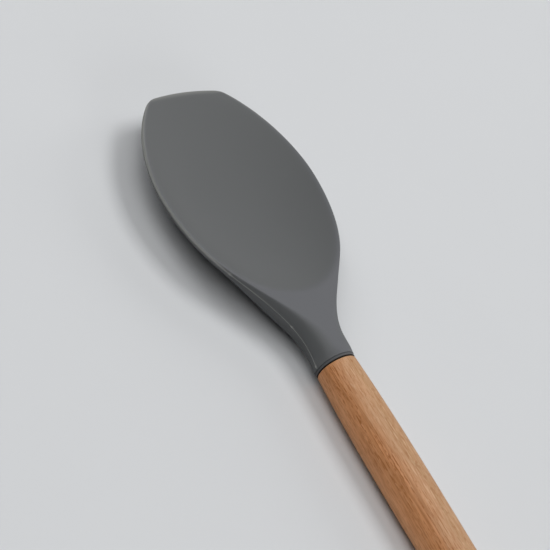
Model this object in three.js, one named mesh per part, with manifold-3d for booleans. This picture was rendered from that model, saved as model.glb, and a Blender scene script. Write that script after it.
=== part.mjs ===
// Serving spoon with a moulded silicone head, a stiff core inside it and a turned beech handle.
// Millimetres. The spoon lies bowl up on the plane z = 0: +Y runs along the handle axis to the tip,
// +X across the spoon and +Z up. The origin is on that plane, halfway along the spoon.
import * as THREE from "three";
import { mergeVertices } from "three/addons/utils/BufferGeometryUtils.js";
import Module from "manifold-3d";

const wasm = await Module();
wasm.setup();

// Head, seen from above
const headLength = 112.3; // end of the collar lip to the middle of the tip edge
const bowlWidth = 70; // across the widest station
const widestFromTip = 40.6; // widest station to the tip edge
const creaseFromWidest = 46.2; // widest station back to the crease where the bowl begins
const rearFullness = 2.12; // superellipse power of the plan behind the widest station
const flankOvershoot = 5.3; // tip edge to where the two front flanks would meet
const frontFullness = 1.8; // superellipse power of the front flanks
const tipEdgeRadius = 97; // the blunt, slightly convex tip edge
const tipCornerBlend = 1.7; // how far the tip edge and the flanks run into each other
const flankBlend = 12; // crease to where the neck flanks run into the plan of the bowl
const collarRadius = 7.1;
const lipFlare = 0.35; // the collar opens by this much at its lip
const lipLength = 3;
const lipRound = 0.25;

// Head, seen from the side
const rimRise = 4.85; // parting line at the rim, above the handle axis
const rimThickness = 1.8;
const partingSettle = 3; // flank join to where the parting line reaches the height of the rim
const deepestFromTip = 47.9; // lowest place of the underside to the tip edge
const keelLead = 12; // end of the lip to where the underside starts to drop
const keelEase = 10; // the underside is level for this length behind its lowest place
const riseEase = 0.25; // share of the way to the tip over which the bowl starts to rise
const underRoundLength = 19; // the underside turns from round to shallow over this length of neck
const underSettle = 5; // and is a plain bowl this far past the flank join
const creaseSoftness = 1.2; // roundness of the crease behind the bowl
const restFlatDepth = 0.35; // depth of the flat that the bowl rests on

// Core inside the head
const coreThickness = 2.2; // paddle at the middle of the bowl
const skinThickness = 1.2; // silicone over the paddle, above and below
const neckSkin = 2.2; // silicone over the flanks of the spine
const flexMargin = 10.5; // rim to the edge of the paddle
const flexTip = 16; // tip edge to the front of the paddle
const paddleFullness = 2.2;
const paddleBluntness = 0.97; // the paddle ends in a flat just short of its point
const keyHoleRadius = 3.5;
const keyHoleSpacing = 15;
const keyHoleCount = 3;
const flangeThickness = 0.65;
const flangeInset = 0.2; // lip radius less the radius of the flange
const tangRadius = 4;
const tangLength = 38;
const tangChamfer = 0.8;
const grooveDepth = 0.5;
const grooveWidth = 2;
const grooveFromEnd = 6; // end of the tang to the middle of the first groove
const groovePitch = 8;
const grooveCount = 3;

// Handle
const handleLength = 208;
const shoulderProud = 0.1; // wood over the collar radius, at the joint
const shoulderRound = 0.5;
const gripRadius = 8.45;
const swellLength = 70; // shoulder to the full grip
const taperLength = 70; // grip to the dome of the tail
const tailRadius = 7.4;
const domeLength = 10;
const buttRadius = 3; // flat end of the tail

// Joint of head and handle
const seamGap = 0.25; // lip to flange
const jointGap = 0.4; // flange to wood, an open shadow line
const glueThickness = 0.7;
const glueGap = 0.1; // clearance on either side of the glue
const glueFloor = 1.2; // glue under the end of the tang
const mouldGap = 0.3; // clearance of the core in the silicone

// Fineness of the solids
const aroundHead = 44;
const neckStations = 15;
const rearStations = 9;
const frontStations = 11;
const coreNeckStations = 8;
const coreRearStations = 5;
const coreFrontStations = 8;
const tipRound = [0.5, 0.13, 0]; // stations in the round of the tip edge, as shares of its half thickness
const aroundHandle = 40;
const aroundTang = 28;
const aroundHole = 20;
const swellSteps = 10;
const taperSteps = 6;
const domeSteps = 7;
const roundSteps = 4;

// Sizes that follow
const bowlHalf = bowlWidth / 2;
const rimHalf = rimThickness / 2;
const rimTop = rimRise + rimHalf;
const widest = headLength - widestFromTip;
const crease = widest - creaseFromWidest;
const flankJoin = crease + flankBlend;
const deepest = headLength - deepestFromTip;
const frontReach = widestFromTip + flankOvershoot;
const axisHeight = gripRadius; // the handle lies on the plane that the bowl rests on
const bowlDrop = axisHeight + restFlatDepth;
const bowlWall = coreThickness + 2 * skinThickness; // top to underside at the middle of the bowl
const bowlDepth = rimTop + bowlDrop - bowlWall;
const flangeFront = -seamGap;
const flangeBack = flangeFront - flangeThickness;
const tangEnd = flangeBack - tangLength;
const shoulderY = flangeBack - jointGap;
const shoulderRadius = collarRadius + shoulderProud;
const tailY = shoulderY - handleLength;
const boreRadius = tangRadius + glueThickness;
const boreEnd = tangEnd - glueFloor;
const spoonLength = headLength - tailY;

const clamp = THREE.MathUtils.clamp;
const lerp = THREE.MathUtils.lerp;
const smooth = (from, to, value) => THREE.MathUtils.smoothstep(value, from, to);

// A minimum of two heights with a rounded corner of the given width.
function softMin(a, b, width) {
  if (width <= 0) return Math.min(a, b);
  const h = clamp(0.5 + (b - a) / (2 * width), 0, 1);
  return lerp(b, a, h) - width * h * (1 - h);
}

// Height of a quarter round of unit height and the given width, at a distance in from its edge.
function roundOver(distance, width) {
  const left = 1 - clamp(distance / width, 0, 1);
  return Math.sqrt(1 - left * left);
}

const superellipse = (t, power) => Math.max(0, 1 - Math.abs(t) ** power) ** (1 / power);

// Plan of the head. Stations y count from the end of the lip, x from the middle.
const lipOpening = (y) =>
  lipFlare * (1 - smooth(0, lipLength, y)) - lipRound * (1 - roundOver(y, lipRound));

function bowlPlan(y) {
  if (y < widest) return bowlHalf * superellipse((widest - y) / creaseFromWidest, rearFullness);
  return bowlHalf * superellipse((y - widest) / frontReach, frontFullness);
}

// The neck flank leaves the collar straight and meets the plan of the bowl with its slope.
function halfWidth(y) {
  if (y >= flankJoin) return bowlPlan(y);
  const run = flankJoin - lipLength;
  const t = clamp((y - lipLength) / run, 0, 1);
  const step = 0.01;
  const slope = (bowlPlan(flankJoin + step) - bowlPlan(flankJoin)) / step; // of the bowl's plan at the join
  const rise = t * t * (3 - 2 * t);
  return lerp(collarRadius, bowlPlan(flankJoin), rise) + (t - 1) * t * t * run * slope + lipOpening(y);
}

const tipEdge = (x) => headLength - tipEdgeRadius + Math.sqrt(tipEdgeRadius ** 2 - x * x);

// Outline ahead of the widest station: the front flank, the rounded corner and the tip edge.
const frontOutline = (x) =>
  softMin(widest + frontReach * superellipse(x / bowlHalf, frontFullness), tipEdge(x), tipCornerBlend);

// Half the length of the tip edge: where it would meet the front flank.
function findCorner() {
  let inside = 0;
  let outside = bowlHalf;
  while (outside - inside > 1e-6) {
    const x = (inside + outside) / 2;
    if (bowlPlan(tipEdge(x)) > x) inside = x;
    else outside = x;
  }
  return inside;
}
const cornerX = findCorner();

// Side view of the head. Heights count from the handle axis.
const partingHeight = (y) => rimRise * smooth(0, flankJoin + partingSettle, y);
const crownHeight = (y) => lerp(collarRadius, rimTop, smooth(0, flankJoin, y)) + lipOpening(y);
const keelHeight = (y) =>
  -lerp(collarRadius, bowlDrop, smooth(keelLead, deepest - keelEase, y)) - lipOpening(y);
const shoulderWidth = (y) => lerp(collarRadius, rimHalf, smooth(0, flankJoin, y)) + lipOpening(y);

// Share of the rise from the lowest place of the bowl to the tip edge, straight after a soft start.
function tipRise(x, y) {
  const t = clamp((y - deepest) / (tipEdge(x) - deepest), 0, 1);
  return (Math.hypot(t, riseEase) - riseEase) / (Math.hypot(1, riseEase) - riseEase);
}

const across = (x, y) => clamp(Math.abs(x) / halfWidth(y), 0, 1);

function hollow(x, y) {
  let reach = across(x, y) ** rearFullness;
  if (y < widest) {
    reach = Math.abs(x / bowlHalf) ** rearFullness + ((widest - y) / creaseFromWidest) ** rearFullness;
  }
  return (1 - reach ** (2 / rearFullness)) * (1 - tipRise(x, y));
}

function topHeight(x, y, toEdge) {
  const parting = partingHeight(y);
  const blank = parting + (crownHeight(y) - parting) * roundOver(toEdge, shoulderWidth(y));
  const scoop = rimTop - bowlDepth * hollow(x, y);
  return softMin(blank, scoop, Math.min(creaseSoftness, toEdge));
}

function underHeight(x, y, toEdge) {
  const parting = partingHeight(y);
  const edge = rimHalf * smooth(0, flankJoin, y);
  const power = lerp(0.5, 1, smooth(flankJoin - underRoundLength, flankJoin + underSettle, y));
  const belly = (1 - across(x, y) ** 2) ** power * (1 - tipRise(x, y));
  return parting - edge * roundOver(toEdge, rimHalf) - (parting - keelHeight(y) - edge) * belly;
}

// Stations from the collar to the widest place of the bowl.
function rearPlaces(neckCount, rearCount) {
  const places = [];
  for (let i = 0; i < neckCount; i++) places.push(lerp(lipLength, flankJoin, i / neckCount));
  for (let i = 0; i <= rearCount; i++) places.push(lerp(flankJoin, widest, i / rearCount));
  return places;
}

// Stations of the head: side is the point on the outline, bend the share of the tip edge's curve.
function headStations() {
  const places = [0, lipRound / 3, lipRound, lipLength / 2, ...rearPlaces(neckStations, rearStations)];
  const stations = places.map((y) => ({ side: halfWidth(y), y, bend: 0, toTip: Infinity }));
  const cornerY = frontOutline(cornerX);
  const rimSlope = (cornerY - frontOutline(cornerX + rimHalf)) / rimHalf;
  const rimX = cornerX + rimHalf / rimSlope; // side of the last station behind the round of the tip edge
  const turn = Math.acos(rimX / bowlHalf);
  for (let i = 1; i <= frontStations; i++) {
    const side = bowlHalf * Math.cos((turn * i) / frontStations);
    const y = frontOutline(side);
    stations.push({ side, y, bend: ((y - widest) / (cornerY - widest)) ** 2, toTip: cornerY - y });
  }
  for (const share of tipRound) {
    const side = lerp(cornerX, rimX, share);
    stations.push({ side, y: frontOutline(side), bend: 1, toTip: share * rimHalf });
  }
  return stations;
}

// A ring of points round a station: over the top from +X to -X and back along the underside.
function headRing({ side, y: station, bend, toTip }) {
  const ring = [];
  for (let k = 0; k < aroundHead; k++) {
    const angle = (2 * Math.PI * k) / aroundHead;
    const share = Math.cos(angle);
    const x = side * share;
    const y = station + bend * (frontOutline(cornerX * share) - frontOutline(cornerX));
    const toEdge = Math.max(0, Math.min(side * (1 - Math.abs(share)), toTip));
    const height = Math.sin(angle) >= 0 ? topHeight : underHeight;
    const z = toEdge < 1e-6 ? partingHeight(y) : height(x, y, toEdge);
    ring.push(new THREE.Vector3(x, y, z));
  }
  return ring;
}

// Joins rings of points along +Y into one closed surface. An end ring that isn't folded flat is capped.
function loft(rings, capEnd) {
  const points = [];
  const faces = [];
  const count = rings[0].length;
  rings.forEach((ring) => points.push(...ring));
  const cap = (ring, first, turn) => {
    const middle = ring.reduce((sum, p) => sum.add(p), new THREE.Vector3()).divideScalar(count);
    const hub = points.push(middle) - 1;
    for (let k = 0; k < count; k++) {
      const pair = [first + k, first + ((k + 1) % count)];
      faces.push(hub, ...(turn ? pair.reverse() : pair));
    }
  };
  for (let j = 0; j + 1 < rings.length; j++) {
    for (let k = 0; k < count; k++) {
      const a = j * count + k;
      const b = j * count + ((k + 1) % count);
      faces.push(a, a + count, b + count, a, b + count, b);
    }
  }
  cap(rings[0], 0, false);
  if (capEnd) cap(rings[rings.length - 1], (rings.length - 1) * count, true);
  const surface = new THREE.BufferGeometry().setFromPoints(points);
  return surface.setIndex(faces);
}

// A closed geometry as a solid for joining and cutting.
function solidOf(geometry) {
  const bare = new THREE.BufferGeometry().setAttribute("position", geometry.getAttribute("position"));
  bare.setIndex(geometry.index);
  const merged = mergeVertices(bare, 1e-4);
  const triangles = [];
  for (let i = 0; i < merged.index.count; i += 3) {
    const [a, b, c] = [0, 1, 2].map((n) => merged.index.getX(i + n));
    if (a !== b && b !== c && c !== a) triangles.push(a, b, c);
  }
  const vertProperties = merged.getAttribute("position").array;
  const triVerts = new Uint32Array(triangles);
  return new wasm.Manifold(new wasm.Mesh({ numProp: 3, vertProperties, triVerts }));
}

function geometryOf(solid) {
  const mesh = solid.getMesh();
  const geometry = new THREE.BufferGeometry();
  geometry.setAttribute("position", new THREE.BufferAttribute(mesh.vertProperties, mesh.numProp));
  geometry.setIndex(new THREE.BufferAttribute(mesh.triVerts, 1));
  geometry.computeVertexNormals();
  return geometry;
}

const turned = (profile, around) => solidOf(new THREE.LatheGeometry(profile, around));
const at = (radius, y) => new THREE.Vector2(radius, y);

// Paddle and spine of the core, grown all round by a clearance to make the hollow it sits in.
const paddleReach = (grow) => widestFromTip - flexTip + grow;

function coreHalf(y, grow) {
  const margin = lerp(neckSkin, flexMargin, smooth(lipLength, widest, y));
  if (y <= widest) return halfWidth(Math.max(y, lipLength)) - margin + grow;
  return (bowlHalf - flexMargin + grow) * superellipse((y - widest) / paddleReach(grow), paddleFullness);
}

function coreRing(y, grow) {
  const half = coreHalf(y, grow);
  const station = Math.max(y, lipLength);
  const ring = [];
  for (let k = 0; k < aroundHead; k += 2) {
    const angle = (2 * Math.PI * k) / aroundHead;
    const x = half * Math.cos(angle);
    const toEdge = halfWidth(station) - Math.abs(x);
    const top = topHeight(x, station, toEdge) - skinThickness + grow;
    const under = underHeight(x, station, toEdge) + skinThickness - grow;
    const lift = Math.sin(angle);
    const onEdge = Math.abs(lift) < 1e-6;
    const z = onEdge ? (top + under) / 2 : lift > 0 ? top : under;
    ring.push(new THREE.Vector3(x, y, z));
  }
  return ring;
}

function paddle(grow) {
  const places = [(flangeFront + flangeBack) / 2, ...rearPlaces(coreNeckStations, coreRearStations)];
  const reach = paddleReach(grow) * paddleBluntness;
  for (let i = 1; i <= coreFrontStations; i++) {
    places.push(widest + reach * Math.sin((Math.PI * i) / (2 * coreFrontStations)));
  }
  let body = solidOf(loft(places.map((y) => coreRing(y, grow)), true));
  for (let i = 0; i < keyHoleCount; i++) {
    const hole = new THREE.CylinderGeometry(
      keyHoleRadius - grow, keyHoleRadius - grow, 2 * bowlWidth, aroundHole,
    );
    hole.rotateX(Math.PI / 2);
    hole.translate(0, widest + keyHoleSpacing * (i - (keyHoleCount - 1) / 2), 0);
    body = body.subtract(solidOf(hole));
  }
  return body;
}

// Side of the tang from its end to the flange, grown by a clearance for the glue around it.
function tangProfile(grow) {
  const profile = [at(tangRadius - tangChamfer + grow, tangEnd - grow)];
  profile.push(at(tangRadius + grow, tangEnd + tangChamfer));
  for (let i = 0; i < grooveCount; i++) {
    const middle = tangEnd + grooveFromEnd + groovePitch * i;
    const low = middle - grooveWidth / 2 + grow;
    const high = middle + grooveWidth / 2 - grow;
    const root = tangRadius - grooveDepth + grow;
    profile.push(at(tangRadius + grow, low), at(root, low), at(root, high), at(tangRadius + grow, high));
  }
  return profile;
}

function makeHead() {
  const outside = solidOf(loft(headStations().map(headRing), false));
  const table = new THREE.BoxGeometry(2 * bowlWidth, 2 * headLength, axisHeight);
  table.translate(0, headLength / 2, -1.5 * axisHeight);
  return outside.subtract(solidOf(table)).subtract(paddle(mouldGap));
}

function makeCore() {
  const flangeRadius = collarRadius + lipFlare - flangeInset;
  const root = turned(
    [
      at(0, tangEnd),
      ...tangProfile(0),
      at(tangRadius, flangeBack),
      at(flangeRadius, flangeBack),
      at(flangeRadius, flangeFront),
      at(0, flangeFront),
    ],
    aroundTang,
  );
  return paddle(0).add(root);
}

function makeGlue() {
  const outer = boreRadius - glueGap;
  const inner = tangProfile(glueGap).reverse();
  return turned(
    [
      at(0, boreEnd + glueGap),
      at(outer, boreEnd + glueGap),
      at(outer, shoulderY),
      at(tangRadius + glueGap, shoulderY),
      ...inner,
      at(0, tangEnd - glueGap),
    ],
    aroundTang,
  );
}

// Radius of the handle at a distance from its shoulder: a quick swell to the grip, then a slow taper.
function handleRadius(s) {
  const swell = 1 - (1 - Math.min(1, s / swellLength)) ** 3;
  const taperStart = handleLength - domeLength - taperLength;
  const taper = clamp((s - taperStart) / taperLength, 0, 1) ** 2;
  return lerp(shoulderRadius, gripRadius, swell) - (gripRadius - tailRadius) * taper;
}

function handleProfile() {
  const profile = [at(0, tailY), at(buttRadius, tailY)];
  const domeEnd = handleLength - domeLength;
  for (let i = domeSteps - 1; i > 0; i--) {
    const t = Math.sin((Math.PI / 2) * (i / domeSteps));
    profile.push(at(lerp(buttRadius, tailRadius, Math.sqrt(1 - t * t)), tailY + domeLength * (1 - t)));
  }
  for (let i = taperSteps; i >= 0; i--) {
    const s = domeEnd - taperLength * (1 - i / taperSteps);
    profile.push(at(handleRadius(s), shoulderY - s));
  }
  for (let i = swellSteps; i >= 0; i--) {
    const s = lerp(shoulderRound, swellLength, (i / swellSteps) ** 1.5);
    profile.push(at(handleRadius(s), shoulderY - s));
  }
  const rim = handleRadius(shoulderRound);
  for (let i = 1; i <= roundSteps; i++) {
    const turn = (Math.PI / 2) * (i / roundSteps);
    const inset = shoulderRound * (1 - Math.cos(turn));
    profile.push(at(rim - inset, shoulderY - shoulderRound * (1 - Math.sin(turn))));
  }
  profile.push(at(0, shoulderY));
  return profile;
}

function makeHandle() {
  const bore = new THREE.CylinderGeometry(boreRadius, boreRadius, 2 * (shoulderY - boreEnd), aroundTang);
  bore.translate(0, shoulderY, 0);
  return turned(handleProfile(), aroundHandle).subtract(solidOf(bore));
}

const finishes = {
  silicone: { color: 0x66686a, roughness: 0.62, metalness: 0 },
  nylon: { color: 0x515355, roughness: 0.55, metalness: 0 },
  beech: { color: 0xb4845c, roughness: 0.58, metalness: 0 },
  glue: { color: 0xd8cda6, roughness: 0.4, metalness: 0 },
};

function piece(name, solid, finish) {
  const mesh = new THREE.Mesh(geometryOf(solid), new THREE.MeshStandardMaterial(finishes[finish]));
  mesh.name = name;
  return mesh;
}

// Everything is made about the handle axis, with the end of the lip at y = 0, and laid on the plane.
const alongAxis = new THREE.Group();
alongAxis.position.set(0, spoonLength / 2 - headLength, axisHeight);
alongAxis.add(
  piece("silicone_head", makeHead(), "silicone"),
  piece("head_core", makeCore(), "nylon"),
  piece("glue_sleeve", makeGlue(), "glue"),
  piece("wood_handle", makeHandle(), "beech"),
);

const spoon = new THREE.Group();
spoon.name = "serving_spoon";
spoon.add(alongAxis);

export default spoon;
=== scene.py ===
# Serving spoon: grey silicone head moulded over a stiff core, glued into a turned beech handle.
from math import acos, copysign, cos, exp, hypot, inf, pi, radians, sin, sqrt

import bmesh
import bpy
from mathutils import Matrix, Vector


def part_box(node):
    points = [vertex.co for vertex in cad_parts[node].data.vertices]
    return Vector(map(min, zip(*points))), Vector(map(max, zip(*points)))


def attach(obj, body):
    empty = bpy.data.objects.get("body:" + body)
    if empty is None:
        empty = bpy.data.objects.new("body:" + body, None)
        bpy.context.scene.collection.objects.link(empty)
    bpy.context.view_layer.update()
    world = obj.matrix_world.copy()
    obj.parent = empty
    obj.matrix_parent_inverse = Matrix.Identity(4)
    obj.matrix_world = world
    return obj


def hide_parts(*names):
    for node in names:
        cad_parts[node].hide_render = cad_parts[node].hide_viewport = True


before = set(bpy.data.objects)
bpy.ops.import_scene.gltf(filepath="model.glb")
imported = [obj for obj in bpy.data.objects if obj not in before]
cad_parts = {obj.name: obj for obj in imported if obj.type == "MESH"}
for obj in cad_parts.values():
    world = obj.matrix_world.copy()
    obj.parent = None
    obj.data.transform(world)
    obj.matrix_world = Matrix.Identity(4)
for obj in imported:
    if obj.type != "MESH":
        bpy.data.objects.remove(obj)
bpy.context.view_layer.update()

mm = 0.001
hair = 1e-6  # mm, less than any real distance
headLow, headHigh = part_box("silicone_head")
handleLow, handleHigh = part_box("wood_handle")
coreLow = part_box("head_core")[0]
glueLow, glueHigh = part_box("glue_sleeve")
lipY = headLow[1] / mm  # end of the collar lip
axisZ = (handleLow[2] + handleHigh[2]) / 2 / mm  # handle axis above the floor
print("frame loaded, lip at", round(lipY, 2), "mm, axis at", round(axisZ, 2), "mm")


# small helpers for profiles, all in millimetres
def lerp(a, b, t):
    return a + (b - a) * t


def clamp(v, low=0.0, high=1.0):
    return min(high, max(low, v))


def smooth(a, b, v):
    t = clamp((v - a) / (b - a))
    return t * t * (3 - 2 * t)


def softMin(a, b, width):  # a minimum with a rounded corner
    if width <= 0:
        return min(a, b)
    h = clamp(0.5 + (b - a) / (2 * width))
    return lerp(b, a, h) - width * h * (1 - h)


def roundOver(distance, width):  # quarter round of unit height
    left = 1 - clamp(distance / width)
    return sqrt(1 - left * left)


def superellipse(t, power):
    return max(0.0, 1 - abs(t) ** power) ** (1 / power)


def spaced(start, end, count):  # count steps, the start left out
    return [lerp(start, end, (i + 1) / count) for i in range(count)]


# helpers for meshes and materials
meshing = {
    "sharpAngle": 40,  # degrees, from which an edge stays sharp
    "mergeDistance": 2e-4,  # mm, as the depths
    "drillDepth": 100,
    "drillSides": 64,
    "drillTurn": 2,  # degrees, so that no corner meets the middle line of the paddle
    "bumpDepth": 0.1,
}


def smoothFaces(mesh):  # smooth but for true edges
    for face in mesh.polygons:
        face.use_smooth = True
    mesh.set_sharp_from_angle(angle=radians(meshing["sharpAngle"]))


def addPiece(name, bm, material):
    bmesh.ops.recalc_face_normals(bm, faces=bm.faces)
    mesh = bpy.data.meshes.new(name)
    bm.to_mesh(mesh)
    bm.free()
    smoothFaces(mesh)
    mesh.materials.append(material)
    piece = bpy.data.objects.new(name, mesh)
    bpy.context.collection.objects.link(piece)
    return piece


def closeUp(bm):  # joins the points that meet at seams and poles
    distance = meshing["mergeDistance"] * mm
    bmesh.ops.remove_doubles(bm, verts=bm.verts, dist=distance)
    bmesh.ops.dissolve_degenerate(bm, dist=distance, edges=bm.edges)


def wrapRings(rings, layerNames=()):  # a grid rolled up along rings of as many points each
    around = len(rings[0])
    along = len(rings) - 1
    bm = bmesh.new()
    bmesh.ops.create_grid(bm, x_segments=around, y_segments=along, size=0.5)
    layers = [bm.verts.layers.float.new(name) for name in layerNames]
    for vert in bm.verts:
        k = round((vert.co.x + 0.5) * around) % around
        j = round((vert.co.y + 0.5) * along)
        x, y, z, *marks = rings[j][k]
        vert.co = Vector((x, y + lipY, z + axisZ)) * mm
        for layer, mark in zip(layers, marks):
            vert[layer] = mark
    closeUp(bm)
    return bm


def spinProfile(profile, steps):  # profile of (radius, y) turned about the handle axis
    bm = bmesh.new()
    verts = [bm.verts.new((r * mm, (y + lipY) * mm, axisZ * mm)) for r, y in profile]
    edges = [bm.edges.new(pair) for pair in zip(verts, verts[1:])]
    centre = (0, 0, axisZ * mm)
    bmesh.ops.spin(
        bm,
        geom=verts + edges,
        cent=centre,
        axis=(0, 1, 0),
        angle=2 * pi,
        steps=steps,
        use_merge=True,
    )
    closeUp(bm)
    return bm


def drill(piece, holes):  # upright holes of (radius, y), cut right through
    bm = bmesh.new()
    turned = Matrix.Rotation(radians(meshing["drillTurn"]), 4, "Z")
    for radius, y in holes:
        bmesh.ops.create_cone(
            bm,
            cap_ends=True,
            segments=meshing["drillSides"],
            radius1=radius * mm,
            radius2=radius * mm,
            depth=meshing["drillDepth"] * mm,
            matrix=Matrix.Translation(Vector((0, y + lipY, axisZ)) * mm) @ turned,
        )
    drillMesh = bpy.data.meshes.new("drill")
    bm.to_mesh(drillMesh)
    bm.free()
    cutter = bpy.data.objects.new("drill", drillMesh)
    bpy.context.collection.objects.link(cutter)
    cut = piece.modifiers.new("drilled", "BOOLEAN")
    cut.object = cutter
    cut.operation = "DIFFERENCE"
    cut.solver = "EXACT"
    drilled = piece.evaluated_get(bpy.context.evaluated_depsgraph_get())
    cutMesh = bpy.data.meshes.new_from_object(drilled)
    piece.modifiers.clear()
    piece.data = cutMesh
    bpy.data.objects.remove(cutter)
    smoothFaces(cutMesh)


def plug(tree, socket, value):  # a value, or the output of another node
    if isinstance(value, bpy.types.NodeSocket):
        tree.links.new(value, socket)
    else:
        socket.default_value = value


def addNode(tree, kind, sockets=None, **settings):
    node = tree.nodes.new("ShaderNode" + kind)
    for key, value in settings.items():
        setattr(node, key, value)
    for key, value in (sockets or {}).items():
        plug(tree, node.inputs[key], value)
    return node


def addMath(tree, operation, a, b=0.0):
    return addNode(tree, "Math", {0: a, 1: b}, operation=operation).outputs[0]


def addRange(tree, value, low, high, toLow=0.0, toHigh=1.0):
    sockets = {"Value": value, "From Min": low, "From Max": high, "To Min": toLow, "To Max": toHigh}
    return addNode(tree, "MapRange", sockets, interpolation_type="SMOOTHSTEP").outputs[0]


def addMix(tree, factor, a, b, blend="MIX"):  # the sockets of the colours are numbers 6 and 7
    sockets = {0: factor, 6: a, 7: b}
    return addNode(tree, "Mix", sockets, data_type="RGBA", blend_type=blend).outputs[2]


def addNoise(tree, place, scale, detail):
    return addNode(tree, "TexNoise", {"Vector": place, "Scale": scale, "Detail": detail}).outputs["Fac"]


def addBump(tree, shader, height, strength):
    sockets = {"Height": height, "Strength": strength, "Distance": meshing["bumpDepth"] * mm}
    plug(tree, shader.inputs["Normal"], addNode(tree, "Bump", sockets).outputs["Normal"])


def newMaterial(name):  # with its shader and the object's own coordinates
    material = bpy.data.materials.new(name)
    material.use_nodes = True
    tree = material.node_tree
    place = addNode(tree, "TexCoord").outputs["Object"]
    return material, tree, tree.nodes["Principled BSDF"], place


def cloudyMaterial(name, look):  # two tones that run into each other
    material, tree, shader, place = newMaterial(name)
    cloud = addNoise(tree, place, look["cloudScale"], look["cloudDetail"])
    plug(tree, shader.inputs["Base Color"], addMix(tree, cloud, look["colour"], look["cloud"]))
    rough = look["roughness"]
    if isinstance(rough, tuple):  # it wanders with the tones
        rough = addRange(tree, cloud, *look["cloudRange"], *rough)
    plug(tree, shader.inputs["Roughness"], rough)
    shader.inputs["Specular IOR Level"].default_value = look["specular"]
    return material


def rgb(red, green, blue):
    return (red, green, blue, 1.0)


# silicone head, stations counted from the end of the lip, heights from the handle axis
head = {
    "length": (headHigh[1] - headLow[1]) / mm,
    "halfWidth": headHigh[0] / mm,
    "widestFromTip": 40.6,
    "creaseFromWidest": 46.2,
    "rearFullness": 2.12,
    "flankOvershoot": 5.3,  # tip edge to where the front flanks would meet
    "frontFullness": 1.8,
    "tipEdgeRadius": 97,
    "tipCornerBlend": 1.7,
    "flankBlend": 14,  # crease to where the neck runs into the bowl's plan
    "neckStart": 7,  # end of the lip to where the neck starts to widen
    "collarRadius": 6.85,
    "lipFlare": 0.6,
    "flareLength": 5,
    "lipLength": 3,
    "lipRound": 0.2,
    "lipShares": (0, 0.06, 0.2, 0.42, 0.7, 1),  # stations in that round, as shares of it
    "lipSteps": 8,
    "rimRise": 4.85,
    "rimThickness": 1.8,
    "partingSettle": 3,  # flank join to where the parting line is as high as the rim
    "deepestFromTip": 47.9,
    "keelLead": 12,  # end of the lip to where the underside starts to drop
    "keelEase": 10,  # level stretch behind the lowest place
    "riseEase": 0.25,  # share of the way to the tip over which the bowl starts to rise
    "underRoundLength": 19,  # the underside turns from round to shallow over this length of neck
    "underSettle": 5,  # and is a plain bowl this far past the flank join
    "underPower": (0.5, 1),  # powers of its section, round and shallow
    "bowlWall": 4.6,
    "creaseSoftness": 0.6,
    "wallFullness": 2.3,  # power of the section of the hollow
    "rimLand": 0.06,  # share by which the hollow stays inside the rim and the crease
    "shoulderRun": 0.75,  # share of the neck over which its round top turns into an edge
    "shoulderPower": 3.0,  # squareness of the neck's section, which is round at the lip
    "sheenBand": (0.82, 1.0),  # where the painted sheen on the neck's top sets in, 1 on the crease
    "restFlatDepth": 0.35,
    "around": 184,  # points in a ring
    "edgeCrowding": 0.6,  # share by which points crowd towards the parting line
    "neckSteps": 74,
    "rearSteps": 36,
    "frontSteps": 44,
    "tipShares": (0.75, 0.52, 0.34, 0.2, 0.1, 0.03, 0.0),  # stations in the round of the tip edge
}
flash = {
    "height": 0.16,  # mould flash along the parting line of the neck
    "width": 0.17,
    "drop": 0.6,  # it sits this much low at the collar
    "start": 0.5,  # it rises to its height over this length
    "foot": (0.5, 2.5),  # distance from the edge over which it ends
    "fade": (34, 46),
    "nubs": ((1.0, 0.3), (16.3, 0.3), (38.5, 0.2)),  # station and extra height
    "nubLength": 0.45,
    "nubSpread": 1.2,  # by how much a nub widens the line
    "neckPaleness": (0.12, 0.75),  # half width and strength of the paler line on the neck, partly a painted highlight
    "rimPaleness": (0.44, 0.8),  # and round the rim of the bowl
    "rimLift": (0.45, 0.15),  # how far it lies above the parting line, at the widest place and the tip; lower at the tip, where the painted highlight covers the rim's shaded outer round
    "tipSpread": 1.0,  # by how much the line widens towards the tip
}
half = head["halfWidth"]
rimHalf = head["rimThickness"] / 2
rimTop = head["rimRise"] + rimHalf
widest = head["length"] - head["widestFromTip"]
crease = widest - head["creaseFromWidest"]
flankJoin = crease + head["flankBlend"]
deepest = head["length"] - head["deepestFromTip"]
frontReach = head["widestFromTip"] + head["flankOvershoot"]
bowlDrop = axisZ + head["restFlatDepth"]
bowlDepth = rimTop + bowlDrop - head["bowlWall"]


def lipOpening(y):
    opened = head["lipFlare"] * (1 - smooth(0, head["flareLength"], y))
    return opened - head["lipRound"] * (1 - roundOver(y, head["lipRound"]))


def bowlPlan(y):
    if y < widest:
        return half * superellipse((widest - y) / head["creaseFromWidest"], head["rearFullness"])
    return half * superellipse((y - widest) / frontReach, head["frontFullness"])


def halfWidth(y):
    if y >= flankJoin:
        return bowlPlan(y)
    run = flankJoin - head["neckStart"]
    t = clamp((y - head["neckStart"]) / run)
    step = 0.01
    slope = (bowlPlan(flankJoin + step) - bowlPlan(flankJoin)) / step
    rise = t * t * (3 - 2 * t)
    flank = lerp(head["collarRadius"], bowlPlan(flankJoin), rise) + (t - 1) * t * t * run * slope
    return flank + lipOpening(y)


def tipEdge(x):
    radius = head["tipEdgeRadius"]
    return head["length"] - radius + sqrt(radius * radius - x * x)


def frontOutline(x):
    flank = widest + frontReach * superellipse(x / half, head["frontFullness"])
    return softMin(flank, tipEdge(x), head["tipCornerBlend"])


def findCorner():  # half the length of the tip edge
    inside, outside = 0.0, half
    while outside - inside > hair:
        x = (inside + outside) / 2
        if bowlPlan(tipEdge(x)) > x:
            inside = x
        else:
            outside = x
    return inside


cornerX = findCorner()
cornerY = frontOutline(cornerX)


def partingHeight(y):
    return head["rimRise"] * smooth(0, flankJoin + head["partingSettle"], y)


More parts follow.
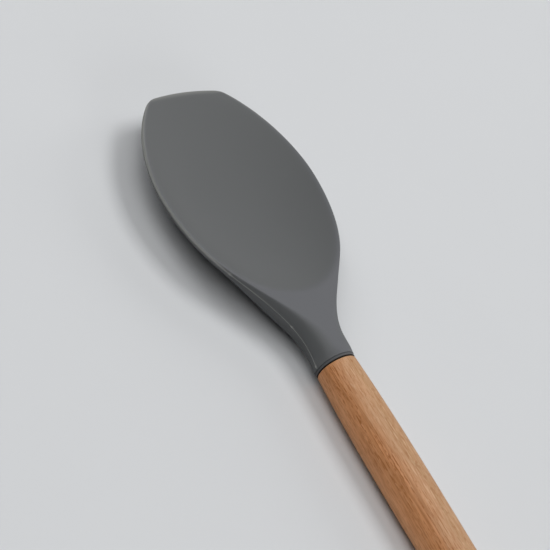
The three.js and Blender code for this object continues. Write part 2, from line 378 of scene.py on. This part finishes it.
def crownHeight(y):
    return lerp(head["collarRadius"], rimTop, smooth(0, flankJoin, y)) + lipOpening(y)


def keelHeight(y):
    drop = smooth(head["keelLead"], deepest - head["keelEase"], y)
    return -lerp(head["collarRadius"], bowlDrop, drop) - lipOpening(y)


def shoulderWidth(y):
    turned = smooth(0, flankJoin * head["shoulderRun"], y)
    return lerp(head["collarRadius"], rimHalf, turned) + lipOpening(y)


def shoulder(y, toEdge):  # share of the full height at a distance from the edge
    power = lerp(2, head["shoulderPower"], smooth(0, head["flareLength"], y))
    return superellipse(1 - clamp(toEdge / shoulderWidth(y)), power)


def tipRise(x, y):  # share of the rise from the lowest place to the tip edge
    ease = head["riseEase"]
    t = clamp((y - deepest) / (tipEdge(x) - deepest))
    return (hypot(t, ease) - ease) / (hypot(1, ease) - ease)


def across(x, y):
    return clamp(abs(x) / halfWidth(y))


def reach(x, y):  # 1 along the crease and the rim
    power = head["rearFullness"]
    if y < widest:
        return abs(x / half) ** power + ((widest - y) / head["creaseFromWidest"]) ** power
    return across(x, y) ** power


def hollow(x, y):
    inside = reach(x, y) * (1 + head["rimLand"])
    return (1 - inside ** (head["wallFullness"] / head["rearFullness"])) * (1 - tipRise(x, y))


def topHeight(x, y, toEdge):
    parting = partingHeight(y)
    blank = parting + (crownHeight(y) - parting) * shoulder(y, toEdge)
    scoop = rimTop - bowlDepth * hollow(x, y)
    return softMin(blank, scoop, min(head["creaseSoftness"], toEdge))


def underHeight(x, y, toEdge):
    parting = partingHeight(y)
    edge = rimHalf * smooth(0, flankJoin, y)
    shallow = smooth(flankJoin - head["underRoundLength"], flankJoin + head["underSettle"], y)
    belly = (1 - across(x, y) ** 2) ** lerp(*head["underPower"], shallow) * (1 - tipRise(x, y))
    return parting - edge * roundOver(toEdge, rimHalf) - (parting - keelHeight(y) - edge) * belly


def ringAngles():  # from +x over the top and back underneath, crowded at the two edges
    count = head["around"]
    turns = [2 * pi * k / count for k in range(count)]
    return [turn - head["edgeCrowding"] * sin(2 * turn) / 2 for turn in turns]


angles = ringAngles()


def flashLine(y):
    return partingHeight(y) - flash["drop"] * (1 - smooth(0, flankJoin, y))


def nubHeight(y):
    height = 0.0
    for place, extra in flash["nubs"]:
        height += extra * exp(-(((y - place) / flash["nubLength"]) ** 2))
    return height


def flashHeight(y, z):
    height = flash["height"] + nubHeight(y)
    height *= smooth(0, flash["start"], y) * (1 - smooth(*flash["fade"], y))
    return height * exp(-(((z - flashLine(y)) / flash["width"]) ** 2))


def paleEdgeAndHighlight(y, z, toEdge):  # share of the paler line beside the mould line: partly a paler edge, partly a painted highlight on the rounded rim
    bowl = smooth(*flash["fade"], y)
    width = lerp(flash["neckPaleness"][0], flash["rimPaleness"][0], bowl)
    width *= 1 + flash["nubSpread"] * nubHeight(y) / flash["height"]
    tip = smooth(widest, cornerY, y)
    width *= 1 + flash["tipSpread"] * tip
    strength = lerp(flash["neckPaleness"][1], flash["rimPaleness"][1], bowl)
    height = z - flashLine(y) - lerp(*flash["rimLift"], tip) * bowl
    return strength * exp(-((hypot(height, toEdge) / width) ** 2))


# painted sheen: the top of the neck is made lighter and bluer, full at the crease and fading towards
# its edges
def neckTint(x, y, toEdge):
    return smooth(*head["sheenBand"], reach(x, y)) * smooth(0, shoulderWidth(y), toEdge)


# bend is the share by which a ring follows the tip edge, toTip its distance from that edge
def headRing(side, station, bend=0.0, toTip=inf):
    ring = []
    for angle in angles:
        share = cos(angle)
        x = side * share
        y = station + bend * (frontOutline(cornerX * share) - cornerY)
        toEdge = max(0.0, min(side * (1 - abs(share)), toTip))
        above = sin(angle) >= 0
        height = topHeight if above else underHeight
        z = partingHeight(y) if toEdge < hair else height(x, y, toEdge)
        z = max(z, -axisZ)  # the flat the bowl rests on
        # share of the painted sheen on the top of the neck
        paintedSheen = neckTint(x, y, toEdge) if above else 0.0
        x += copysign(flashHeight(y, z) * (1 - smooth(*flash["foot"], toEdge)), x)
        ring.append((x, y, z, paleEdgeAndHighlight(y, z, toEdge), paintedSheen))
    return ring


def headRings():
    stations = [head["lipRound"] * share for share in head["lipShares"]]
    stations += spaced(head["lipRound"], head["lipLength"], head["lipSteps"])
    stations += spaced(head["lipLength"], flankJoin, head["neckSteps"])
    stations += spaced(flankJoin, widest, head["rearSteps"])
    rings = [headRing(halfWidth(y), y) for y in stations]
    # past the widest place the rings bend more and more, then close in the round of the tip edge
    rimSlope = (cornerY - frontOutline(cornerX + rimHalf)) / rimHalf
    rimX = cornerX + rimHalf / rimSlope
    turn = acos(rimX / half)
    for angle in spaced(0, turn, head["frontSteps"]):
        side = half * cos(angle)
        y = frontOutline(side)
        rings.append(headRing(side, y, ((y - widest) / (cornerY - widest)) ** 2, cornerY - y))
    for share in head["tipShares"]:
        side = lerp(cornerX, rimX, share)
        rings.append(headRing(side, frontOutline(side), 1.0, share * rimHalf))
    return rings


# core inside the head: paddle, spine, seat flange and grooved tang
core = {
    "skin": 1.2,  # outside of the silicone to the core, over and under it
    "neckSkin": 2.2,  # and beside it, at the lip
    "flexMargin": 10.5,  # and beside it, at the widest place
    "flexTip": 16,  # tip edge to the point of the paddle
    "paddleFullness": 2.2,
    "bluntness": 0.97,  # the paddle ends in a flat just short of its point
    "edgeRound": 4,  # steepness of the paddle's rounded edge
    "keyHoleCount": 3,
    "keyHoleSpacing": 15,
    "keyHoleRadius": 3.5,
    "mouldGap": 0.3,  # core to silicone
    "seamGap": 0.05,  # lip to the front of the flange
    "flangeReach": 0.9,  # lip to the back of the flange
    "flangeInset": 0.2,  # radius of the lip less that of the flange
    "flangeRound": 0.08,
    "tangRadius": 4,
    "tangChamfer": 0.8,
    "grooveCount": 3,
    "grooveFromEnd": 6,
    "groovePitch": 8,
    "grooveDepth": 0.5,
    "grooveWidth": 2,
    "rearSteps": 30,
    "frontSteps": 20,
}
flangeFront = -core["seamGap"]
flangeBack = -core["flangeReach"]
flangeRadius = head["collarRadius"] + head["lipFlare"] - core["flangeInset"]
tangEnd = coreLow[1] / mm - lipY


def coreHalf(y, grow):
    if y > widest:
        point = head["widestFromTip"] - core["flexTip"] + grow
        narrowing = superellipse((y - widest) / point, core["paddleFullness"])
        return (half - core["flexMargin"] + grow) * narrowing
    margin = lerp(core["neckSkin"], core["flexMargin"], smooth(head["lipLength"], widest, y))
    return halfWidth(max(y, head["lipLength"])) - margin + grow


def coreRing(y, grow):
    side = coreHalf(y, grow)
    station = max(y, head["lipLength"])
    ring = []
    for angle in angles:
        x = side * cos(angle)
        toEdge = halfWidth(station) - abs(x)
        top = topHeight(x, station, toEdge) - core["skin"] + grow
        under = underHeight(x, station, toEdge) + core["skin"] - grow
        middle = (top + under) / 2
        swell = min(1.0, abs(sin(angle)) * core["edgeRound"])
        z = lerp(middle, top if sin(angle) >= 0 else under, sqrt(swell))
        ring.append((x, y, z))
    return ring


def coreRings(grow, start):  # from the front of the paddle back to the given station
    front = (head["widestFromTip"] - core["flexTip"] + grow) * core["bluntness"]
    count = core["frontSteps"]
    places = [widest + front * cos(pi / 2 * i / count) for i in range(count)]
    places += [widest] + spaced(widest, head["lipLength"], core["rearSteps"]) + [start]
    rings = [coreRing(y, grow) for y in places]
    middle = [sum(point[i] for point in rings[0]) / len(rings[0]) for i in range(3)]
    return [[tuple(middle)] * len(rings[0])] + rings


def circleRing(radius, y):
    return [(radius * cos(angle), y, radius * sin(angle)) for angle in angles]


def tangProfile(grow):  # from the flange to the end of the tang
    radius = core["tangRadius"] + grow
    root = radius - core["grooveDepth"]
    chamfer = core["tangChamfer"]
    profile = []
    for i in reversed(range(core["grooveCount"])):
        middle = tangEnd + core["grooveFromEnd"] + core["groovePitch"] * i
        start = middle + core["grooveWidth"] / 2 - grow
        end = middle - core["grooveWidth"] / 2 + grow
        profile += [(radius, start), (root, start), (root, end), (radius, end)]
    return profile + [(radius, tangEnd + chamfer), (radius - chamfer, tangEnd - grow)]


def flangeRings():  # the seat flange, then the tang to its end
    edge = core["flangeRound"]
    profile = [(flangeRadius - edge, flangeFront), (flangeRadius, flangeFront - edge)]
    profile += [(flangeRadius, flangeBack + edge), (flangeRadius - edge, flangeBack)]
    profile += [(core["tangRadius"], flangeBack)] + tangProfile(0)
    return [circleRing(radius, y) for radius, y in profile] + [[(0.0, tangEnd, 0.0)] * len(angles)]


def keyHoles():  # radius and station of each
    count = core["keyHoleCount"]
    spacing = core["keyHoleSpacing"]
    first = widest - spacing * (count - 1) / 2
    return [(core["keyHoleRadius"], first + spacing * i) for i in range(count)]


# adhesive round the tang
glue = {"gap": 0.1, "steps": 64}  # gap to the tang and to the wood


def glueProfile():
    outer = glueHigh[0] / mm
    mouth = glueHigh[1] / mm - lipY
    end = glueLow[1] / mm - lipY
    inner = tangProfile(glue["gap"])
    outside = [(0, end), (outer, end), (outer, mouth), (inner[0][0], mouth)]
    return outside + inner + [(0, inner[-1][1])]


# turned beech handle
handle = {
    "length": (handleHigh[1] - handleLow[1]) / mm,
    "gripRadius": handleHigh[0] / mm,
    "shoulderRadius": 7.2,
    "shoulderRound": 0.5,
    "swellLength": 70,
    "swellPower": 3,
    "taperLength": 70,
    "taperPower": 2,
    "tailRadius": 7.4,
    "domeLength": 10,
    "buttRadius": 3,
    "steps": 120,
    "domeSteps": 14,
    "lengthSteps": 90,
    "edgeSteps": 8,
}
shoulderY = handleHigh[1] / mm - lipY
tailY = handleLow[1] / mm - lipY


def handleRadius(s):  # at a distance from the shoulder
    swell = 1 - (1 - min(1, s / handle["swellLength"])) ** handle["swellPower"]
    taperStart = handle["length"] - handle["domeLength"] - handle["taperLength"]
    taper = clamp((s - taperStart) / handle["taperLength"]) ** handle["taperPower"]
    swollen = lerp(handle["shoulderRadius"], handle["gripRadius"], swell)
    return swollen - (handle["gripRadius"] - handle["tailRadius"]) * taper


def handleProfile():
    profile = [(0, tailY), (handle["buttRadius"], tailY)]
    for i in reversed(range(1, handle["domeSteps"])):  # dome of the tail
        t = sin(pi / 2 * i / handle["domeSteps"])
        radius = lerp(handle["buttRadius"], handle["tailRadius"], sqrt(1 - t * t))
        profile.append((radius, tailY + handle["domeLength"] * (1 - t)))
    domeStart = handle["length"] - handle["domeLength"]
    edge = handle["shoulderRound"]
    for s in [domeStart] + spaced(domeStart, edge, handle["lengthSteps"]):
        profile.append((handleRadius(s), shoulderY - s))
    for turn in spaced(0, pi / 2, handle["edgeSteps"]):  # eased edge at the joint
        radius = handleRadius(edge) - edge * (1 - cos(turn))
        profile.append((radius, shoulderY - edge * (1 - sin(turn))))
    boreRadius = glueHigh[0] / mm + glue["gap"]
    boreEnd = glueLow[1] / mm - lipY - glue["gap"]
    return profile + [(boreRadius, shoulderY), (boreRadius, boreEnd), (0, boreEnd)]


# grey silicone: matte, faintly mottled, with a thin paler line along the moulded edge that is partly a
# painted highlight, and a painted sheen on the top of the neck
siliconeLook = {
    "bowl": rgb(0.1106, 0.115, 0.1168),
    # painted sheen: the top of the neck, lighter and bluer than the bowl
    "neck": rgb(0.1185, 0.122, 0.131),
    # paler mould line, partly a painted highlight along the rim's rounded edge
    "edge": rgb(0.32, 0.325, 0.305),
    "mottle": 0.03,  # share by which the colour wanders
    "cloudScale": 55.0,
    "cloudDetail": 4.0,
    "cloudRange": (0.3, 0.7),
    "roughness": (0.62, 0.68),
    "specular": 0.22,
    "grain": 0.04,
    "grainScale": 5200.0,
    "grainDetail": 2.0,
}


def siliconeMaterial():
    look = siliconeLook
    material, tree, shader, place = newMaterial("greySilicone")
    cloud = addNoise(tree, place, look["cloudScale"], look["cloudDetail"])
    paintedSheenShare = addNode(tree, "Attribute", attribute_name="neckTint").outputs["Fac"]
    onEdgeAndHighlight = addNode(tree, "Attribute", attribute_name="mouldEdgeAndHighlight").outputs["Fac"]
    mottle = addRange(tree, cloud, *look["cloudRange"], 1 - look["mottle"], 1.0)
    # the painted sheen is mixed in on the top of the neck
    skin = addMix(tree, paintedSheenShare, look["bowl"], look["neck"])
    skin = addMix(tree, 1.0, skin, mottle, "MULTIPLY")
    # paler mould line and painted highlight along the edge
    plug(tree, shader.inputs["Base Color"], addMix(tree, onEdgeAndHighlight, skin, look["edge"]))
    rough = addRange(tree, cloud, *look["cloudRange"], *look["roughness"])
    plug(tree, shader.inputs["Roughness"], rough)
    addBump(tree, shader, addNoise(tree, place, look["grainScale"], look["grainDetail"]), look["grain"])
    shader.inputs["Specular IOR Level"].default_value = look["specular"]
    return material


# dark nylon of the core
nylonLook = {
    "colour": rgb(0.075, 0.077, 0.08),
    "cloud": rgb(0.09, 0.092, 0.095),
    "cloudScale": 400.0,
    "cloudDetail": 3.0,
    "cloudRange": (0.2, 0.8),
    "roughness": (0.58, 0.7),
    "specular": 0.25,
}

# cured adhesive
glueLook = {
    "colour": rgb(0.62, 0.52, 0.3),
    "cloud": rgb(0.7, 0.62, 0.42),
    "cloudScale": 300.0,
    "cloudDetail": 2.0,
    "cloudRange": (0.2, 0.8),
    "roughness": (0.3, 0.45),
    "specular": 0.5,
}

# oiled beech: red, rose and tan growth layers, short dark flecks that drift across, pale streaks; the
# layer tones also hold painted light, lightest at the shaded lower-left edge and darker on the lit side
beechLook = {
    # real ruddy tone and painted fill light at the shaded edge of the handle
    "ruddyAndPaintedFill": rgb(0.7, 0.34, 0.155),
    "red": rgb(0.6, 0.27, 0.113),
    "rose": rgb(0.53, 0.3, 0.158),
    "tan": rgb(0.435, 0.253, 0.126),
    "fleck": rgb(0.33, 0.115, 0.028),
    "pale": rgb(0.66, 0.43, 0.26),
    "smudge": rgb(0.3, 0.12, 0.035),
    "layerTilt": 45.7,  # degrees, growth layers across the handle, turned so that their tones run from the shaded side to the lit side
    "redLayers": (-8.0, -4.5),  # mm across the layers, where each tone sets in
    "roseLayers": (-2.5, 4.5),
    "tanLayers": (3.6, 6.4),
    "bandPlace": -1.1,  # mm across the layers, middle of the band of flecks
    "bandDrift": 0.045,  # mm across for each mm along
    "bandHalf": (5.6, 0.5),  # mm from the middle, where the band begins and where it is full
    "fleckCover": (0.4, 0.9),  # outside the band and in it
    "paleCover": (0.35, 1.0),  # on the red side and the rose side
    "roughness": (0.5, 0.6),
    "specular": 0.3,
    "relief": 0.25,
    "patterns": {  # per mm across and along, detail, offset, range of the noise, range of the pattern
        "wander": (0.16, 0.04, 2.0, 5.5, (0.3, 0.7), (-1.3, 1.3)),
        "paleStreak": (2.6, 0.22, 2.0, 7.7, (0.53, 0.68), (0.0, 0.55)),
        "bandTone": (0.8, 0.06, 3.0, 3.1, (0.35, 0.68), (0.0, 0.5)),
        "fine": (3.6, 0.12, 2.0, 1.3, (0.44, 0.66), (0.0, 0.4)),
        "fleckLine": (3.3, 0.04, 1.0, 9.2, (0.48, 0.58), (0.0, 1.0)),
        "fleckBreak": (2.2, 0.42, 1.0, 4.6, (0.46, 0.57), (0.0, 1.0)),
        "smudge": (0.8, 0.4, 1.0, 2.4, (0.6, 0.7), (0.0, 0.5)),
    },
}


def beechMaterial():
    look = beechLook
    material, tree, shader, place = newMaterial("oiledBeech")
    fromAxis = {0: place, 1: (0, 0, axisZ * mm)}
    centred = addNode(tree, "VectorMath", fromAxis, operation="SUBTRACT").outputs[0]
    tilt = (0, radians(look["layerTilt"]), 0)
    turned = {"Vector": centred, "Rotation": tilt, "Scale": (1 / mm,) * 3}
    grain = addNode(tree, "Mapping", turned).outputs[0]

    def pattern(name):
        wide, long, detail, offset, noiseRange, patternRange = look["patterns"][name]
        stretched = {"Vector": grain, "Location": (offset,) * 3, "Scale": (wide, long, wide)}
        noise = addNoise(tree, addNode(tree, "Mapping", stretched).outputs[0], 1.0, detail)
        return addRange(tree, noise, *noiseRange, *patternRange)

    def add(a, b):
        return addMath(tree, "ADD", a, b)

    def times(a, b):
        return addMath(tree, "MULTIPLY", a, b)

    axes = addNode(tree, "SeparateXYZ", {0: grain}).outputs
    layers = add(axes["X"], pattern("wander"))
    drifted = add(layers, times(axes["Y"], look["bandDrift"]))
    fromBand = addMath(tree, "ABSOLUTE", addMath(tree, "SUBTRACT", drifted, look["bandPlace"]))
    band = addRange(tree, fromBand, *look["bandHalf"])
    redSide = addRange(tree, layers, *look["redLayers"])
    roseSide = addRange(tree, layers, *look["roseLayers"])
    tanSide = addRange(tree, layers, *look["tanLayers"])
    paleSide = addRange(tree, roseSide, 0.0, 1.0, *look["paleCover"])
    fleckSide = addRange(tree, band, 0.0, 1.0, *look["fleckCover"])
    fine = pattern("fine")
    fleck = times(times(pattern("fleckLine"), pattern("fleckBreak")), fleckSide)
    # begins with the lightest tone, at the shaded edge, as painted fill light
    tone = look["ruddyAndPaintedFill"]
    for cover, colour in (
        (redSide, "red"),
        (roseSide, "rose"),
        (tanSide, "tan"),
        (times(pattern("paleStreak"), paleSide), "pale"),
        (times(pattern("bandTone"), band), "smudge"),
        (fine, "fleck"),
        (fleck, "fleck"),
        (times(pattern("smudge"), tanSide), "smudge"),
    ):
        tone = addMix(tree, cover, tone, look[colour])
    plug(tree, shader.inputs["Base Color"], tone)
    rough = addRange(tree, fine, *look["patterns"]["fine"][-1], *look["roughness"])
    plug(tree, shader.inputs["Roughness"], rough)
    addBump(tree, shader, times(add(fleck, fine), -1.0), look["relief"])
    shader.inputs["Specular IOR Level"].default_value = look["specular"]
    return material


def dress(piece, node):
    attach(piece, "root")
    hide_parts(node)
    print(piece.name, "made,", len(piece.data.polygons), "faces")


cavity = coreRings(core["mouldGap"], 0.0)
headMesh = wrapRings(cavity + headRings(), ("mouldEdgeAndHighlight", "neckTint"))
dress(addPiece("siliconeHead", headMesh, siliconeMaterial()), "silicone_head")

coreMesh = wrapRings(coreRings(0.0, flangeFront) + flangeRings())
corePiece = addPiece("stiffCore", coreMesh, cloudyMaterial("darkNylon", nylonLook))
drill(corePiece, keyHoles())
dress(corePiece, "head_core")

glueMesh = spinProfile(glueProfile(), glue["steps"])
gluePiece = addPiece("glueSleeve", glueMesh, cloudyMaterial("curedAdhesive", glueLook))
dress(gluePiece, "glue_sleeve")

handleMesh = spinProfile(handleProfile(), handle["steps"])
dress(addPiece("beechHandle", handleMesh, beechMaterial()), "wood_handle")

# pale floor
floorLook = {
    "size": 6.0,  # metres
    "segments": 4,
    "colour": rgb(0.621, 0.633, 0.647),
    "cloud": rgb(0.606, 0.618, 0.632),
    "cloudScale": 14.0,
    "cloudDetail": 3.0,
    "roughness": 0.8,
    "specular": 0.1,
}
floorMesh = bmesh.new()
cells = floorLook["segments"]
bmesh.ops.create_grid(floorMesh, x_segments=cells, y_segments=cells, size=floorLook["size"] / 2)
floor = addPiece("floor", floorMesh, cloudyMaterial("paleFloor", floorLook))
print("floor laid")

# soft light: one main panel high on the right, broad weaker panels all round
lights = {
    "distance": 4.0,  # metres
    "panels": {  # degrees round from the tip to the right, degrees up, metres wide, share of the light
        "main": (79, 64, 1.9, 0.314),
        "overhead": (315, 74, 1.92, 0.156),
        "left": (270, 56, 1.92, 0.155),
        "ahead": (337, 38, 1.92, 0.093),
        "lowRight": (90, 20, 1.92, 0.062),
        "lowBehind": (180, 20, 1.92, 0.049),
        "lowAhead": (45, 20, 1.92, 0.035),
    },
}


def addPanel(name, around, lift, size, share):
    turn, rise = radians(around), radians(lift)
    direction = Vector((sin(turn) * cos(rise), cos(turn) * cos(rise), sin(rise)))
    data = bpy.data.lights.new(name, "AREA")
    data.size = size
    # a low panel is stronger, so that its share reaches the floor
    data.energy = share * 4 * pi * lights["distance"] ** 2 / sin(rise)
    panel = bpy.data.objects.new(name, data)
    place = Vector((0, lipY * mm, 0)) + direction * lights["distance"]
    facing = direction.to_track_quat("Z", "Y").to_matrix().to_4x4()
    panel.matrix_world = Matrix.Translation(place) @ facing
    bpy.context.collection.objects.link(panel)


for name, panel in lights["panels"].items():
    addPanel(name, *panel)
world = bpy.data.worlds.new("room")
world.use_nodes = True
world.node_tree.nodes["Background"].inputs["Strength"].default_value = 0.0
bpy.context.scene.world = world
print("lights placed")

# camera at the photograph's viewing angle
view = {
    "target": (-2.161, lipY + 37.705, axisZ),  # mm, as the distance
    "azimuth": -61.716,  # degrees, as the next two
    "elevation": 40.637,
    "roll": 39.585,
    "distance": 1000,
    "focalPixels": 2969.5,
    "framePixels": 550,
    "sensor": 36,
}


def addCamera():
    turn, lift, roll = (radians(view[key]) for key in ("azimuth", "elevation", "roll"))
    back = Vector((sin(turn) * cos(lift), -cos(turn) * cos(lift), sin(lift)))
    level = back.cross(Vector((0, 0, -1))).normalized()  # to the right before the roll
    upright = back.cross(level)
    right = cos(roll) * level + sin(roll) * upright
    up = cos(roll) * upright - sin(roll) * level
    data = bpy.data.cameras.new("camera")
    data.sensor_width = view["sensor"]
    data.lens = view["focalPixels"] / view["framePixels"] * view["sensor"]
    camera = bpy.data.objects.new("camera", data)
    place = (Vector(view["target"]) + back * view["distance"]) * mm
    facing = Matrix((right, up, back)).transposed().to_4x4()
    camera.matrix_world = Matrix.Translation(place) @ facing
    bpy.context.collection.objects.link(camera)
    bpy.context.scene.camera = camera


addCamera()
bpy.context.scene.view_settings.view_transform = "Standard"
print("camera placed")
